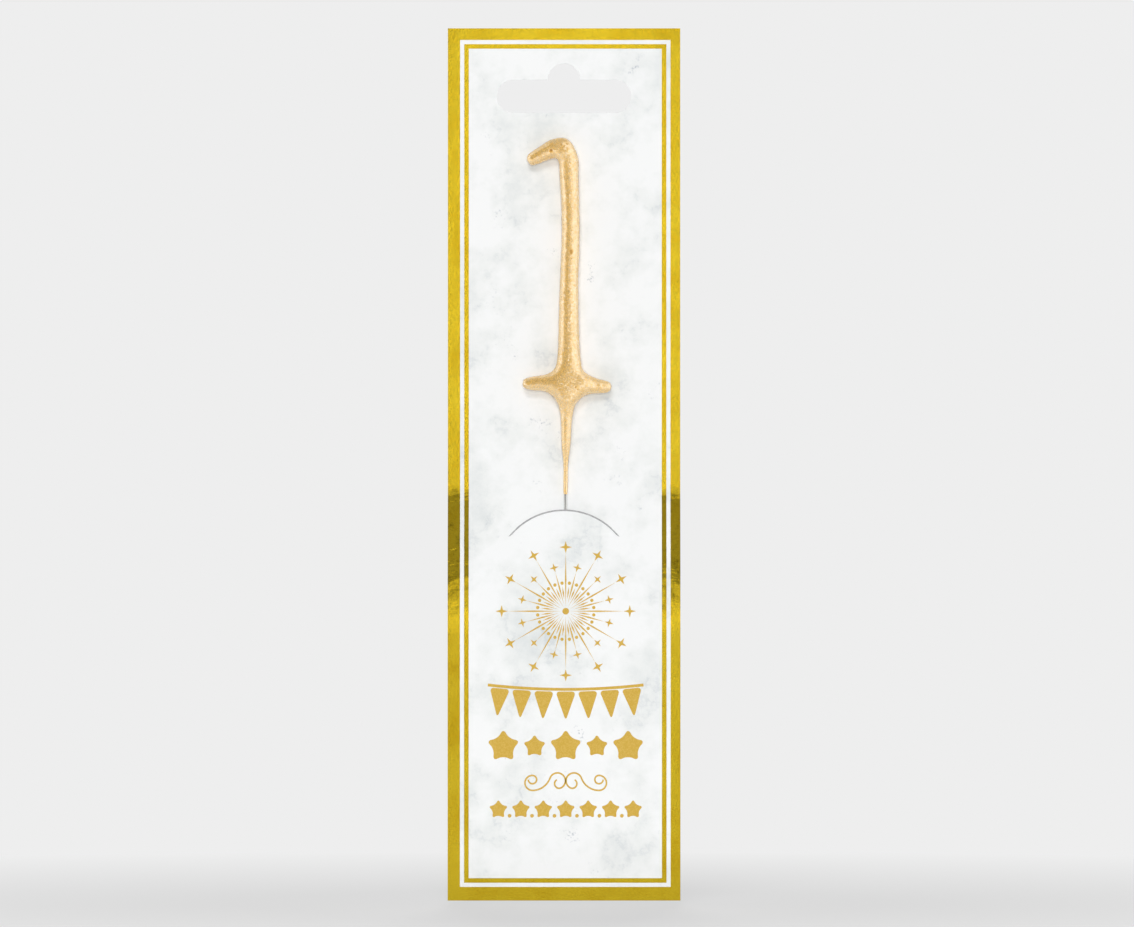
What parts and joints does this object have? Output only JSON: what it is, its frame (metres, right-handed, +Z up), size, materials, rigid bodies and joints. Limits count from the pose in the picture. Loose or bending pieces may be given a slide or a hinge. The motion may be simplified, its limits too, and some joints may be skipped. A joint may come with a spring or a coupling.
{
  "type": "carded numeral sparkler",
  "caption": "Gold dipped sparkler in the shape of a numeral, on a steel wire held by the tuck tab of a tall hanging card with foil borders and a euro hang slot.",
  "frame": {"origin": "centre of the round crown of the hang slot, in the middle of the board's thickness", "axes": "+Z up the card, +X to the right as seen from the front, +Y out of the card's back"},
  "size_m": [0.056, 0.0059, 0.21],
  "materials": {
    "printed_board": "white coated board printed with a pale grey marble",
    "gold_foil": "bright yellow gold hot-stamping foil",
    "steel_wire": "plain drawn wire",
    "gold_composition": "dipped crust with a peach gold metallic lacquer"
  },
  "bodies": {
    "card": {"backing_card": "printed_board", "outer_foil_border": "gold_foil", "inner_foil_border": "gold_foil"},
    "tab": {"tuck_tab": "printed_board"},
    "sparkler": {"core_wire": "steel_wire", "foot_wire": "steel_wire", "spark_composition": "gold_composition"}
  },
  "joints": [
    {"name": "tab_fold", "type": "hinge", "parent": "card", "child": "tab", "pos_m": [0, -0.00238, -0.11015], "axis": [1, 0, 0], "range_deg": [0, 75], "stiffness_Nm_per_rad": 0.0002},
    {"name": "sparkler_pull", "type": "slide", "parent": "card", "child": "sparkler", "axis": [0, 0, 1], "range_m": [0, 0.08]}
  ]
}
